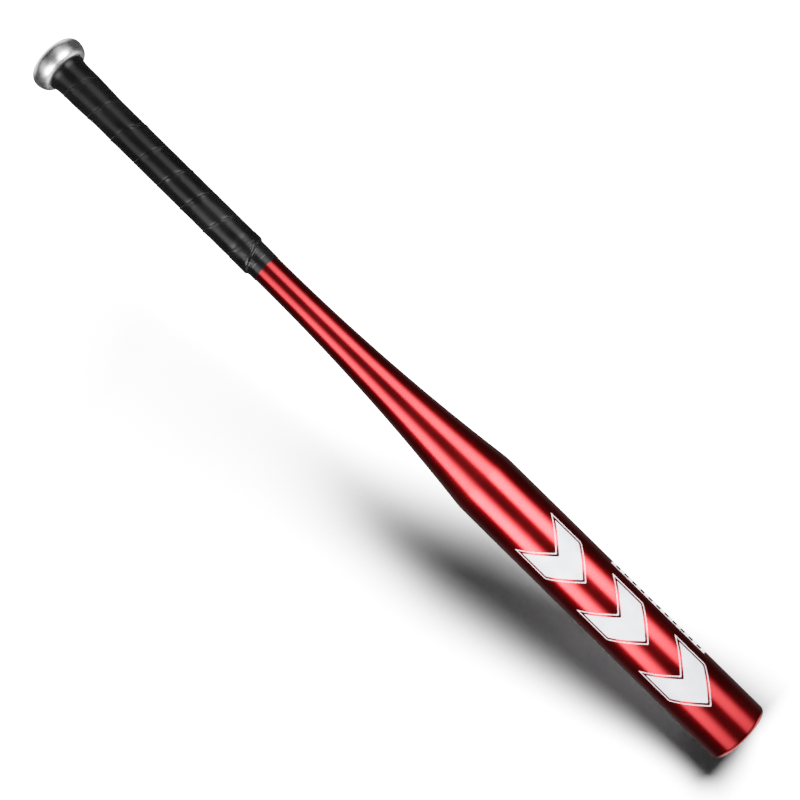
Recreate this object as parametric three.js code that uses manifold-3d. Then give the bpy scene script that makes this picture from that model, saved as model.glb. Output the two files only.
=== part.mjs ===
// An aluminium baseball bat: a swaged tube with a plug in its open end, a cast knob at
// the other, a wound grip, and chevrons printed on the barrel.
// Millimetres, +Z up. The bat lies along +X. The origin is the centre of the knob's flat
// end face, and the barrel is towards +X. Everything but the prints is turned about X.

import * as THREE from 'three';
import { mergeVertices } from 'three/addons/utils/BufferGeometryUtils.js';
import Module from 'manifold-3d';

const wasm = await Module();
wasm.setup();

// Overall
const LENGTH = 762;             // knob face to barrel rim: a 30 inch bat
const FLATS = 40;               // flats round the axis, the same on every turned piece
const FIT = 0.1;                // radial gap between pieces pressed or glued together
const SKIN = 0.05;              // gap under tape, transfer film and the like
const BUTT = 0.3;               // gap where one piece butts against another

// Shell: one tube, thick in the handle and thinner in the barrel
const HANDLE_R = 12.5;
const HANDLE_WALL = 2.3;
const BARREL_R = 27;
const BARREL_WALL = 1.9;
const TAPER_START = 250;        // the handle is straight up to here
const BARREL_START = 488;       // the barrel is straight from here to the rim
const SHOULDER_R = 60;          // round between taper and barrel
const RIM_R = 4;                // round of the rolled rim
const MOUTH_R = 20;             // opening that the rolled rim leaves in the end

// Knob: a turned casting whose spigot is pressed into the handle
const KNOB_R = 24.1;
const KNOB_EDGE_R = 7.5;        // round from the end face to the widest place
const KNOB_BACK = 17;           // back of the bright part
const KNOB_BACK_R = 18.4;
const HUB_R = 16.9;             // the hub starts here and sweeps down to the handle
const TUBE_START = 28;          // the tube butts on the hub here
const SPIGOT_END = 52;
const CORE_R = 7.4;             // cored hole in the hub and the spigot

// Plug in the knob's end face
const PLUG_HEAD_R = 9;
const PLUG_HEAD = 2.5;
const PLUG_STEM_R = 5.6;
const PLUG_THROAT = 10;         // the narrow part of its hole ends here
const PLUG_BARB_R = 6.4;
const PLUG_END = 15;

// Grip
const TAPE_START = 31;
const TAPE_T = 0.4;
const WRAP_END = 229;
const WRAP_FLARE_R = 18.2;      // over the hub, just behind the knob
const WRAP_SWELL_R = 15.4;      // where the first turns lie double
const WRAP_R = 14.4;            // over the handle
const FINISH_START = 216;       // the finishing tape starts on the wrap
const FINISH_END = 244;
const FINISH_T = 0.32;

// Inside the handle and the barrel
const FOAM_START = 56;
const FOAM_END = 120;
const CAP_SKIRT = 13;           // length of the end plug's skirt
const DAMPER = 18;              // thickness of the foam disc behind it

// Printed chevrons, bent round the top of the barrel, that point at the rim
const CHEVRONS = 3;
const CHEVRON_START = 537;
const CHEVRON_PITCH = 66;
const CHEVRON_BAND = 33;        // width of an arm along the bat
const CHEVRON_POINT = 24;       // how far the point is ahead of the arms' ends
const CHEVRON_REACH = THREE.MathUtils.degToRad(47);    // from the top, each way
const OUTLINE_W = 1.1;
const OUTLINE_GAP = 1.4;        // bare strip between outline and chevron
const INK_T = 0.2;

// Row of dashes printed low on the barrel's side
const MARK_START = 598;
const MARK_DASHES = 12;
const MARK_PITCH = 8.6;
const MARK_DASH_W = 4.6;
const MARK_TURN = THREE.MathUtils.degToRad(80);    // from the top, towards +Y
const MARK_H = 12;
const MARK_RAIL = 1.4;          // thin line that the dashes stand on

function material(color, metalness, roughness) {
  return new THREE.MeshStandardMaterial({ color, metalness, roughness });
}

const redAnodised = () => material(0xb5161b, 0.9, 0.22);
const bareAluminium = () => material(0xc9cacc, 1.0, 0.25);
const blackWrap = () => material(0x1b1b1c, 0.0, 0.5);
const blackVinyl = () => material(0x161616, 0.0, 0.35);
const clothTape = () => material(0xd9d2bd, 0.0, 0.9);
const blackUrethane = () => material(0x1c1c1e, 0.0, 0.55);
const greyFoam = () => material(0x6f7276, 0.0, 0.95);
const whiteInk = () => material(0xe6e8ee, 0.0, 0.4);

// Points [x, radius] along a round, as an ellipse arc about (cx, cr). Angles are in
// degrees: 0 points along +X and 90 points away from the bat's axis.
function round(cx, cr, halfX, halfR, from, to, steps) {
  const points = [];
  for (let i = 0; i <= steps; i += 1) {
    const angle = THREE.MathUtils.degToRad(from + (to - from) * i / steps);
    points.push([cx + halfX * Math.cos(angle), cr + halfR * Math.sin(angle)]);
  }
  return points;
}

// Turns a profile of [x, radius] points about the X axis. It runs along the outside
// towards +X and comes back along the inside, or starts and ends on the axis.
function turned(profile) {
  const points = profile.map(([x, r]) => new THREE.Vector2(r, x));
  const geometry = new THREE.LatheGeometry(points, FLATS, Math.PI / FLATS);
  geometry.rotateZ(-Math.PI / 2);
  return geometry;
}

// A sleeve or ring: its outside and its inside both run towards +X.
function sleeve(outside, inside) {
  return turned([...outside, ...[...inside].reverse(), outside[0]]);
}

// Handle, taper, shoulder and barrel at one depth inside the outer surface. The taper is
// a hollow arc that leaves the handle level and meets the shoulder's arc tangentially.
function bodyLine(handleDepth, barrelDepth) {
  const handleR = HANDLE_R - handleDepth;
  const barrelR = BARREL_R - barrelDepth;
  const shoulderR = SHOULDER_R - barrelDepth;
  const run = BARREL_START - TAPER_START;
  const rise = barrelR - handleR;
  const reach = (run * run + rise * rise) / (2 * rise);
  const hollowR = reach - shoulderR;
  const slope = THREE.MathUtils.radToDeg(Math.asin(run / reach));
  return [
    ...round(TAPER_START, handleR + hollowR, hollowR, hollowR, -90, -90 + slope, 12),
    ...round(BARREL_START, barrelR - shoulderR, shoulderR, shoulderR, 90 + slope, 90, 3).slice(1),
  ];
}

function barrelShell() {
  const innerRim = RIM_R - BARREL_WALL;
  const outside = [
    [TUBE_START + BUTT, HANDLE_R],
    ...bodyLine(0, 0),
    ...round(LENGTH - RIM_R, BARREL_R - RIM_R, RIM_R, RIM_R, 90, 0, 5),
    [LENGTH, MOUTH_R + 0.6],
    [LENGTH - 0.6, MOUTH_R],
  ];
  const inside = [
    [TUBE_START + BUTT, HANDLE_R - HANDLE_WALL],
    ...bodyLine(HANDLE_WALL, BARREL_WALL),
    ...round(LENGTH - RIM_R, BARREL_R - RIM_R, innerRim, innerRim, 90, 0, 3),
    [LENGTH - BARREL_WALL, MOUTH_R],
  ];
  return sleeve(outside, inside);
}

// Knob, with its hub, its spigot and the stepped hole through it.
function knob() {
  const spigotR = HANDLE_R - HANDLE_WALL - FIT;
  const backHalfX = KNOB_BACK - KNOB_EDGE_R;
  const outside = [
    [0, PLUG_HEAD_R + FIT],
    ...round(KNOB_EDGE_R, KNOB_R - KNOB_EDGE_R, KNOB_EDGE_R, KNOB_EDGE_R, 180, 90, 7),
    ...round(KNOB_EDGE_R, KNOB_BACK_R, backHalfX, KNOB_R - KNOB_BACK_R, 90, 0, 5).slice(1),
    [KNOB_BACK, HUB_R],
    ...round(TUBE_START, HUB_R, TUBE_START - KNOB_BACK, HUB_R - HANDLE_R, 180, 270, 5).slice(1),
    [TUBE_START, spigotR],
    [SPIGOT_END - 1, spigotR],
    [SPIGOT_END, spigotR - 1],
  ];
  const inside = [
    [0, PLUG_HEAD_R + FIT],
    [PLUG_HEAD + FIT, PLUG_HEAD_R + FIT],
    [PLUG_HEAD + FIT, PLUG_STEM_R + FIT],
    [PLUG_THROAT, PLUG_STEM_R + FIT],
    [PLUG_THROAT, CORE_R],
    [SPIGOT_END, CORE_R],
  ];
  return turned([...outside, ...inside.reverse()]);
}

// Rubber plug with a flat head and a barb that snaps in behind the narrow hole.
function knobPlug() {
  return turned([
    [0, 0],
    [0, PLUG_HEAD_R],
    [PLUG_HEAD, PLUG_HEAD_R],
    [PLUG_HEAD, PLUG_STEM_R],
    [PLUG_THROAT + FIT, PLUG_STEM_R],
    [PLUG_THROAT + FIT, PLUG_BARB_R],
    [PLUG_END, PLUG_STEM_R - 1.6],
    [PLUG_END, 0],
  ]);
}

function handlePlug() {
  const foamR = HANDLE_R - HANDLE_WALL - FIT;
  return turned([[FOAM_START, 0], [FOAM_START, foamR], [FOAM_END, foamR], [FOAM_END, 0]]);
}

// Double-sided cloth tape that the grip is stuck down with.
function gripBaseTape() {
  const inner = HANDLE_R + SKIN;
  const end = WRAP_END - 2;
  return sleeve(
    [[TAPE_START, inner + TAPE_T], [end, inner + TAPE_T]],
    [[TAPE_START, inner], [end, inner]],
  );
}

// The wound strip as one soft sleeve: flared over the hub, thicker where the first turns
// lie double, and thinner again under the finishing tape.
function gripWrap() {
  const start = KNOB_BACK + BUTT;
  const hubHalfX = TUBE_START - KNOB_BACK;
  const hubDrop = HUB_R - HANDLE_R;
  const overTape = HANDLE_R + TAPE_T + 2 * SKIN;
  const outside = [
    [start, WRAP_FLARE_R],
    [start + 3, WRAP_FLARE_R - 1.7],
    [start + 6.5, WRAP_SWELL_R],
    [start + 22, WRAP_SWELL_R],
    [start + 40, WRAP_R + 0.3],
    [start + 54, WRAP_R],
    [FINISH_START - 2, WRAP_R],
    [FINISH_START - BUTT, WRAP_R - FINISH_T],
    [WRAP_END, WRAP_R - FINISH_T],
  ];
  const inside = [
    ...round(TUBE_START, HUB_R + SKIN, hubHalfX - BUTT, hubDrop, 180, 270, 5),
    [TAPE_START - BUTT, HANDLE_R + SKIN],
    [TAPE_START - BUTT, overTape],
    [WRAP_END, overTape],
  ];
  return sleeve(outside, inside);
}

// Vinyl tape that holds the wrap's end: it starts on the wrap and steps down to the tube.
function finishingTape() {
  const high = WRAP_R - FINISH_T + SKIN;
  const low = HANDLE_R + SKIN;
  const step = WRAP_END + BUTT;
  return sleeve(
    [
      [FINISH_START, high + FINISH_T],
      [step + FINISH_T, high + FINISH_T],
      [step + FINISH_T + 1.5, low + FINISH_T],
      [FINISH_END, low + FINISH_T],
    ],
    [[FINISH_START, high], [step, high], [step + 1.5, low], [FINISH_END, low]],
  );
}

// Urethane plug held behind the rolled rim: a face in the mouth, a flange and a skirt.
function endCap() {
  const faceR = MOUTH_R - BUTT;
  const flangeR = BARREL_R - BARREL_WALL - 2 * BUTT;
  const rimBack = LENGTH - RIM_R;
  const back = rimBack - CAP_SKIRT;
  return turned([
    [rimBack - 4, 0],
    [rimBack - 4, flangeR - 3.5],
    [back, flangeR - 3.5],
    [back, flangeR - 0.6],
    [back + 0.6, flangeR],
    [rimBack - 0.4, flangeR],
    [LENGTH - BARREL_WALL - BUTT, BARREL_R - RIM_R - BUTT],
    [LENGTH - BARREL_WALL - BUTT, faceR],
    [LENGTH - 0.6, faceR],
    [LENGTH, faceR - 0.6],
    [LENGTH, faceR - 3.5],
    [LENGTH - 1, faceR - 4.2],
    [LENGTH - 1, faceR - 6.2],
    [LENGTH, faceR - 6.9],
    [LENGTH, 0],
  ]);
}

// Foam disc that fills the plug's back and the barrel behind it.
function endCapDamper() {
  const back = LENGTH - RIM_R - CAP_SKIRT - DAMPER;
  const discR = BARREL_R - BARREL_WALL - FIT;
  const bossR = BARREL_R - BARREL_WALL - 2 * BUTT - 3.5 - BUTT;
  const skirtEnd = LENGTH - RIM_R - CAP_SKIRT - BUTT;
  return turned([
    [back, 0],
    [back, discR],
    [skirtEnd, discR],
    [skirtEnd, bossR],
    [LENGTH - RIM_R - 4 - BUTT, bossR],
    [LENGTH - RIM_R - 4 - BUTT, 0],
  ]);
}

// A closed solid from a geometry, ready for joins and cuts.
function solidOf(geometry) {
  const bare = geometry.clone();
  bare.deleteAttribute('normal');
  bare.deleteAttribute('uv');
  const merged = mergeVertices(bare, 1e-4);
  return new wasm.Manifold(new wasm.Mesh({
    numProp: 3,
    vertProperties: merged.attributes.position.array,
    triVerts: merged.index.array,
  }));
}

function geometryOf(solid) {
  const mesh = solid.getMesh();
  const geometry = new THREE.BufferGeometry();
  geometry.setAttribute('position', new THREE.BufferAttribute(mesh.vertProperties, 3));
  geometry.setIndex(new THREE.BufferAttribute(mesh.triVerts, 1));
  geometry.computeVertexNormals();
  return geometry;
}

// Ink film on the barrel, cut to a flat outline seen from straight above and then turned
// about the axis. The outline's y is a distance across the barrel.
function inkPatch(shape, start, end, turn) {
  const inner = BARREL_R + SKIN;
  const film = sleeve(
    [[start, inner + INK_T], [end, inner + INK_T]],
    [[start, inner], [end, inner]],
  );
  const cutter = new THREE.ExtrudeGeometry(shape, { depth: 2 * BARREL_R, bevelEnabled: false });
  cutter.rotateX(-turn);
  return geometryOf(solidOf(film).intersect(solidOf(cutter)));
}

// A chevron's outline, inset by a distance. Its arms are straight on the unrolled barrel,
// so from above they bend.
function chevronPoints(start, inset) {
  const reach = CHEVRON_REACH - inset / BARREL_R;
  const slope = CHEVRON_POINT / (CHEVRON_REACH * BARREL_R);
  const side = inset * Math.hypot(1, slope);
  const steps = 6;
  const front = [];
  const back = [];
  for (let i = 0; i <= steps; i += 1) {
    const angle = reach * (2 * i / steps - 1);
    const x = start + CHEVRON_POINT * (1 - Math.abs(angle) / CHEVRON_REACH);
    const y = BARREL_R * Math.sin(angle);
    front.push(new THREE.Vector2(x + CHEVRON_BAND - side, y));
    back.push(new THREE.Vector2(x + side, y));
  }
  return [...front, ...back.reverse()];
}

function chevronPatch(shape, start) {
  return inkPatch(shape, start - 1, start + CHEVRON_BAND + CHEVRON_POINT + 1, 0);
}

function chevronOutline(start) {
  const shape = new THREE.Shape(chevronPoints(start, 0));
  shape.holes.push(new THREE.Path(chevronPoints(start, OUTLINE_W)));
  return chevronPatch(shape, start);
}

function chevronFill(start) {
  return chevronPatch(new THREE.Shape(chevronPoints(start, OUTLINE_W + OUTLINE_GAP)), start);
}

// Leaning dashes on a thin line, along the barrel's side.
function sideMark() {
  const lean = 2.5;
  const end = MARK_START + (MARK_DASHES - 1) * MARK_PITCH + MARK_DASH_W;
  const foot = -MARK_H / 2;
  const points = [new THREE.Vector2(MARK_START, foot), new THREE.Vector2(end, foot)];
  for (let i = MARK_DASHES - 1; i >= 0; i -= 1) {
    const x = MARK_START + i * MARK_PITCH;
    points.push(new THREE.Vector2(x + MARK_DASH_W, foot + MARK_RAIL));
    points.push(new THREE.Vector2(x + MARK_DASH_W + lean, MARK_H / 2));
    points.push(new THREE.Vector2(x + lean, MARK_H / 2));
    points.push(new THREE.Vector2(x, foot + MARK_RAIL));
  }
  return inkPatch(new THREE.Shape(points), MARK_START - 1, end + lean + 1, MARK_TURN);
}

const bat = new THREE.Group();

function add(name, geometry, finish) {
  const mesh = new THREE.Mesh(geometry, finish);
  mesh.name = name;
  bat.add(mesh);
}

add('barrel_shell', barrelShell(), redAnodised());
add('end_cap', endCap(), blackUrethane());
add('end_cap_damper', endCapDamper(), greyFoam());
add('knob', knob(), bareAluminium());
add('knob_plug', knobPlug(), blackUrethane());
add('handle_plug', handlePlug(), greyFoam());
add('grip_base_tape', gripBaseTape(), clothTape());
add('grip_wrap', gripWrap(), blackWrap());
add('finishing_tape', finishingTape(), blackVinyl());
for (let i = 0; i < CHEVRONS; i += 1) {
  const start = CHEVRON_START + i * CHEVRON_PITCH;
  add(`print_chevron_${i + 1}`, chevronFill(start), whiteInk());
  add(`print_outline_${i + 1}`, chevronOutline(start), whiteInk());
}
add('side_mark', sideMark(), whiteInk());

export default bat;
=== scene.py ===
"""An aluminium baseball bat lying on a pale floor: red anodised tube, bare knob, wound grip.

Metres, in the CAD's frame: the bat lies along +X from its knob at the origin, +Z is up.
"""

import math

import bmesh
import bpy
import numpy as np
from mathutils import Matrix, Vector, noise
from mathutils.geometry import delaunay_2d_cdt

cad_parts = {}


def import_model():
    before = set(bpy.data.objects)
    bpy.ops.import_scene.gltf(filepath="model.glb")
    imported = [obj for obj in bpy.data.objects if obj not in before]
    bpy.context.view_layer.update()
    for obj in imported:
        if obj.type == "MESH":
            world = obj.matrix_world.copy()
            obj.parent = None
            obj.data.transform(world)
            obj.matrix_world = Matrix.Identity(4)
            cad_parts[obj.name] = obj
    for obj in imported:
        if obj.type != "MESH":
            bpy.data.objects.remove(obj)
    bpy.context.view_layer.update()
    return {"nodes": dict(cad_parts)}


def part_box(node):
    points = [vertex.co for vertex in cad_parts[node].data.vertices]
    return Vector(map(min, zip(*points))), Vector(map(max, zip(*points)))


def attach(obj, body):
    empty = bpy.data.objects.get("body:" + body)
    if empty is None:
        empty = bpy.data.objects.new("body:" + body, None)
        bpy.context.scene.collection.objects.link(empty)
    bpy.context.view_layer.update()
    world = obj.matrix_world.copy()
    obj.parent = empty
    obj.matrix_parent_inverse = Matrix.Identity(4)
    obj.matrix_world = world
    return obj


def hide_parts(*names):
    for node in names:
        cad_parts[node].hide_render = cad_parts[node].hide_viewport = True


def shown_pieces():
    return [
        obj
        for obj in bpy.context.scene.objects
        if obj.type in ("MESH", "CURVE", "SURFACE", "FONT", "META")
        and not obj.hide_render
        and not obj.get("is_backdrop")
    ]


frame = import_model()

MM = 0.001
WHITE = 2.5                         # scene brightness that shows as pure white
TURN = 2 * math.pi
CAD_FLATS = 40                      # flats round each turned CAD piece
TRUE = 1 / math.cos(math.pi / CAD_FLATS)


def near(node):
    """Where a turned CAD piece starts along the bat."""
    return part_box(node)[0].x


def far(node):
    """Where a turned CAD piece ends along the bat."""
    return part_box(node)[1].x


def radius(node):
    """Largest radius of a turned CAD piece, as the round that its flats stand for."""
    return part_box(node)[1].y * TRUE


# Sizes of the tube, as the CAD has them
LENGTH = far("barrel_shell")
TUBE_START = near("barrel_shell")
BARREL_R = radius("barrel_shell")
HANDLE_R = 12.5 * MM
HANDLE_WALL = 2.3 * MM
BARREL_WALL = 1.9 * MM
TAPER_START = 250 * MM
BARREL_START = 488 * MM
SHOULDER_R = 60 * MM
RIM_R = 4 * MM
MOUTH_R = 20 * MM
BUTT_CHAMFER = 0.3 * MM
MOUTH_EDGE_R = 0.6 * MM

# Sizes of the knob
KNOB_R = radius("knob")
KNOB_EDGE_R = 7.5 * MM
KNOB_BACK = 17 * MM
KNOB_BACK_R = 18.4 * MM
HUB_R = 16.9 * MM
HUB_END = 28 * MM
SPIGOT_END = far("knob")
SPIGOT_CHAMFER = 1 * MM
FIT = 0.1 * MM                      # room between pieces that go into each other
PLUG_HEAD_R = radius("knob_plug")
PLUG_HEAD_DEPTH = 2.5 * MM
HOLE_LIP = 0.35 * MM
HOLE_NECK_R = 5.7 * MM
HOLE_NECK_END = 10 * MM
HOLE_CORE_R = 7.4 * MM

# Sizes of the knob plug
PLUG_DIMPLE_R = 2.2 * MM
PLUG_DIMPLE_DEPTH = 0.7 * MM
PLUG_RING_R = (4.6 * MM, 5.0 * MM, 5.8 * MM, 6.2 * MM)
PLUG_RING_DEPTH = 0.45 * MM
PLUG_EDGE_R = 0.5 * MM
PLUG_BARB_R = 6.4 * MM
PLUG_TIP_R = 4.0 * MM

# Sizes of the end plug
END_GAP = 0.3 * MM
END_RIM_GAP = 0.4 * MM
END_FLANGE_STEP = 3.5 * MM
END_FLANGE_EDGE = 0.6 * MM
END_BODY_DEPTH = 4 * MM
END_GROOVE_DEPTH = 1.0 * MM
END_GROOVE_IN = (3.2 * MM, 4.0 * MM, 6.4 * MM, 7.2 * MM)
END_DIMPLE_R = 2.6 * MM
END_DIMPLE_FLAT_R = 1.9 * MM
END_DIMPLE_DEPTH = 0.7 * MM

# Sizes of the grip
GRIP_START = near("grip_wrap")
GRIP_END = far("grip_wrap")
GRIP_R = 14.4 * MM
PITCH = 26.2 * MM                   # the strip moves this far along in a turn
OVERLAP = 5 * MM
STRIP_T = 1.3 * MM
EDGE_T = 0.36 * MM                  # the strip is pared down to this at its edges
START_DROP = 1.2 * MM               # the grip's first turn is rolled in against the knob
START_ROLL = 3 * MM
EDGE_ON_TOP = 88 * MM               # one place where the upper edge crosses the handle's top
END_SLANT = 5.3 * MM                # the strip's end is cut this much aslant, each way
END_SHORT = 0.5 * MM
TAPER_IN = 8 * MM                   # the strip's edge is pared down over this width
LIP_R = 0.7 * MM                    # rounding of the strip's edges
LIP_SHARE = 0.6                     # share of the thickness that the rounding takes
TUCK_START = 1.5 * MM               # the strip dives this far before the next turn's edge
LEAST_WIDTH = 0.3 * MM              # the strip's cut ends stop where they get this narrow
STRIP_SECTIONS = 144                # sections in a turn
# Points across the strip, as parts of its width: closest at the upper edge
STRIP_ACROSS = [0, 0.004, 0.010, 0.018, 0.03, 0.05, 0.075]
STRIP_ACROSS += [0.105, 0.135, 0.165, 0.195, 0.225, 0.26, 0.30]
STRIP_ACROSS += [0.36, 0.42, 0.48, 0.54, 0.60, 0.66, 0.72]
STRIP_ACROSS += [0.78, 0.83, 0.87, 0.91, 0.95, 1.0]
UNDER_GRIP_R = 0.12 * MM            # the strip's faces lie this much inside GRIP_R
HUB_FLARE = 2.7 * MM                # the grip rises over the knob's hub, and falls off over a run
HUB_FLARE_RUN = 3 * MM
SWELL = 1.0 * MM                    # and the strip is laid on double at the knob
SWELL_START = 36 * MM
SWELL_RUN = 34 * MM
LUMP_H = 0.11 * MM                  # broad unevenness, more of it near the knob
LUMP_LENGTH = 15 * MM
LUMP_START_MORE = 1.2
LUMP_START_RUN = 30 * MM
RIPPLE_H = 0.17 * MM                # ripples just behind the upper edge
RIPPLE_LENGTH = 5 * MM
RIPPLE_CENTRE = 4 * MM
RIPPLE_SPREAD = 4.5 * MM
PUCKER_LENGTH = 9 * MM              # puckers of the upper edge itself
PUCKER_BASE = 0.35                  # lift of the edge, as parts of its thickness
PUCKER_GAIN = 2.2
PUCKER_LEAST = -0.1
PUCKER_START = 0.8 * MM
PUCKER_RUN = 2.3 * MM
VINYL_START = near("finishing_tape")
VINYL_END = far("finishing_tape")
VINYL_T = 0.3 * MM
VINYL_FIT = 0.05 * MM
VINYL_DROP_RUN = 2.6 * MM           # the tape comes down to the tube over this length
VINYL_BED_RUN = 3 * MM              # the strip is pressed in over this length before it
CREASE_H = 0.32 * MM
CREASE_LENGTH = 2.6 * MM
SECOND_LAYER_T = 0.13 * MM
SECOND_LAYER_SHORT = 7 * MM         # the second layer stops this far before the tape's end
SECOND_LAYER_STEP = 0.5 * MM

# Prints
CHEVRONS = 3
CHEVRON_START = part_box("print_outline_1")[0].x
CHEVRON_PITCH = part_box("print_outline_2")[0].x - CHEVRON_START
CHEVRON_POINT = 24 * MM
CHEVRON_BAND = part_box("print_outline_1")[1].x - CHEVRON_START - CHEVRON_POINT
CHEVRON_REACH = math.radians(47)
OUTLINE_W = 1.1 * MM
OUTLINE_GAP = 1.4 * MM
INK_LOW = 0.04 * MM
INK_HIGH = 0.11 * MM
INK_GRID = 1.6 * MM                 # spacing of the film's mesh
OUTLINE_CORNER_R = 1.4 * MM
FILL_CORNER_R = 1.0 * MM
MARK_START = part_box("side_mark")[0].x
MARK_DASHES = 12
MARK_PITCH = 8.6 * MM
MARK_DASH_W = 4.6 * MM
MARK_TURN = math.radians(80)
MARK_H = 12 * MM
MARK_LEAN = 2.5 * MM
MARK_RAIL_W = 1.4 * MM

ROUND = 192                         # segments of a smooth turned piece

# The floor under the barrel is level, and it falls away under the handle.
FLOOR_Z = -BARREL_R - 0.2 * MM
FLOOR_FAR = 3.5
FLOOR_NEAR = -3.5
FLOOR_HALF = 3.5
FALL_START = 0.76
FALL_BEND = 0.12
FALL = math.radians(21)
BEND_STEPS = 24

# The flag stands out beside the bat by FLAG_NARROW at the handle and FLAG_WIDEN more at the
# barrel. On the +Y side it stands out by FLAG_SIDE more along the taper and by FLAG_END more at
# the barrel's end, and on the other side the end is cut back by the part FLAG_END_CUT.
FLAG_NARROW = 12 * MM
FLAG_WIDEN = 36 * MM
FLAG_SIDE = 20 * MM
FLAG_END = 18 * MM
FLAG_END_RUN = 130 * MM
FLAG_END_CUT = 0.62
FLAG_FULL = 0.7                     # the flag is at its thickest up to this part of the radius
FLAG_ROWS = 12

# Key light: it comes from the knob's end and the +Y side, far off and large.
KEY_SIZE = 4.0
KEY_DISTANCE = 8.0
KEY_RADIANCE = 74.0
KEY_TURN = math.radians(56)
KEY_HEIGHT = math.radians(50)
KEY_TARGET = Vector((0.45, 0, 0))

# Two long softboxes, one on each side of the camera
BOX_RADIANCE = 10.6
BOX_DISTANCE = 0.65
BOX_LENGTH = 2.2
BOX_LOW = math.radians(14)          # the box reaches between these angles from straight up
BOX_HIGH = math.radians(74)
BOX_CENTRE = Vector((0.42, 0, 0))
# Brightness at places along the bat, in metres, and at degrees from straight up
BOX_ALONG = (
    (-0.30, 0.06), (0.0, 0.09), (0.08, 0.16), (0.18, 0.30), (0.33, 0.62), (0.46, 0.95),
    (0.56, 1.0), (0.70, 0.68), (0.80, 0.42), (0.90, 0.15), (1.0, 0.06),
)
BOX_ACROSS = (
    (14, 0), (17, 0), (21.5, 0.4), (27, 0.95), (34, 1.0), (44, 1.0), (52, 0.77), (59, 0.36),
    (66, 0.05), (74, 0),
)

# Brightness of the studio round the bat
SCATTERED = 0.03                    # what lights the shadow on the floor
DIM = 0.018                         # what the bat mirrors where there is nothing
BELOW = 0.04
PAST_ENDS = 1.3
OVERHEAD_AT_KNOB = 0.05
OVERHEAD_AT_BARREL = 0.01

# Camera: nearly straight above the middle, a little towards the barrel
CAMERA_TARGET = Vector((0.3925, 0, 0))
CAMERA_DISTANCE = 1.246
CAMERA_TILT = math.radians(3.3)
CAMERA_DIAGONAL = math.radians(44.55)
CAMERA_FOCUS = 1.97875              # focal length in frame widths
SENSOR = 36


# ---------------------------------------------------------------- meshes

def new_piece(name, mesh, finish, slot, *nodes):
    """Makes an object of the mesh that rides on the bat and stands for CAD nodes."""
    piece = bpy.data.objects.new(name, mesh)
    bpy.context.scene.collection.objects.link(piece)
    mesh.materials.append(finish)
    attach(piece, "root")
    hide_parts(*nodes)
    return piece


def mesh_of(name, points, faces, sharp=35):
    """A closed mesh with its faces pointing out, smooth but for edges over an angle."""
    mesh = bpy.data.meshes.new(name)
    mesh.from_pydata(points, [], faces)
    work = bmesh.new()
    work.from_mesh(mesh)
    bmesh.ops.recalc_face_normals(work, faces=work.faces)
    work.to_mesh(mesh)
    work.free()
    mesh.shade_smooth()
    mesh.set_sharp_from_angle(angle=math.radians(sharp))
    return mesh


def arc(cx, cr, half_x, half_r, start, end, steps):
    """Points (x, radius) on an ellipse; 0 degrees is +X and 90 is away from the axis."""
    angles = np.radians(np.linspace(start, end, steps + 1))
    return [(cx + half_x * math.cos(a), cr + half_r * math.sin(a)) for a in angles]


def fillet(before, corner, after, size, steps=4):
    """A rounded corner: a quadratic curve between points a size away from it."""
    b, c, a = Vector(before), Vector(corner), Vector(after)
    start = c + (b - c).normalized() * size
    end = c + (a - c).normalized() * size
    curve = []
    for i in range(steps + 1):
        t = i / steps
        p = start * (1 - t) ** 2 + c * (2 * t * (1 - t)) + end * t ** 2
        curve.append((p.x, p.y))
    return curve


def softened(profile, corners):
    """The profile with the corners at these places rounded: {index: size}."""
    points = []
    for i, p in enumerate(profile):
        if i in corners:
            points += fillet(profile[i - 1], p, profile[i + 1], corners[i])
        else:
            points.append(p)
    return points


def turned(name, profile, segments=ROUND, sharp=35):
    """Turns (x, radius) points about X; the profile closes, or has both ends on the axis."""
    loop = profile[0][1] > 0
    points, rings = [], []
    for x, r in profile:
        if r <= 0:
            rings.append([len(points)] * segments)
            points.append((x, 0, 0))
            continue
        rings.append(list(range(len(points), len(points) + segments)))
        for k in range(segments):
            a = TURN * k / segments
            points.append((x, r * math.sin(a), r * math.cos(a)))
    faces = []
    pairs = list(zip(rings, rings[1:]))
    if loop:
        pairs.append((rings[-1], rings[0]))
    for one, two in pairs:
        for k in range(segments):
            n = (k + 1) % segments
            corners = [one[k], one[n], two[n], two[k]]
            face = [c for i, c in enumerate(corners) if c != corners[i - 1]]
            if len(face) > 2:
                faces.append(face)
    return mesh_of(name, points, faces, sharp)


def smooth(t):
    """0 below 0, 1 above 1, and an even curve between."""
    t = min(max(t, 0.0), 1.0)
    return t * t * (3 - 2 * t)


# ---------------------------------------------------------------- node helpers

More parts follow.
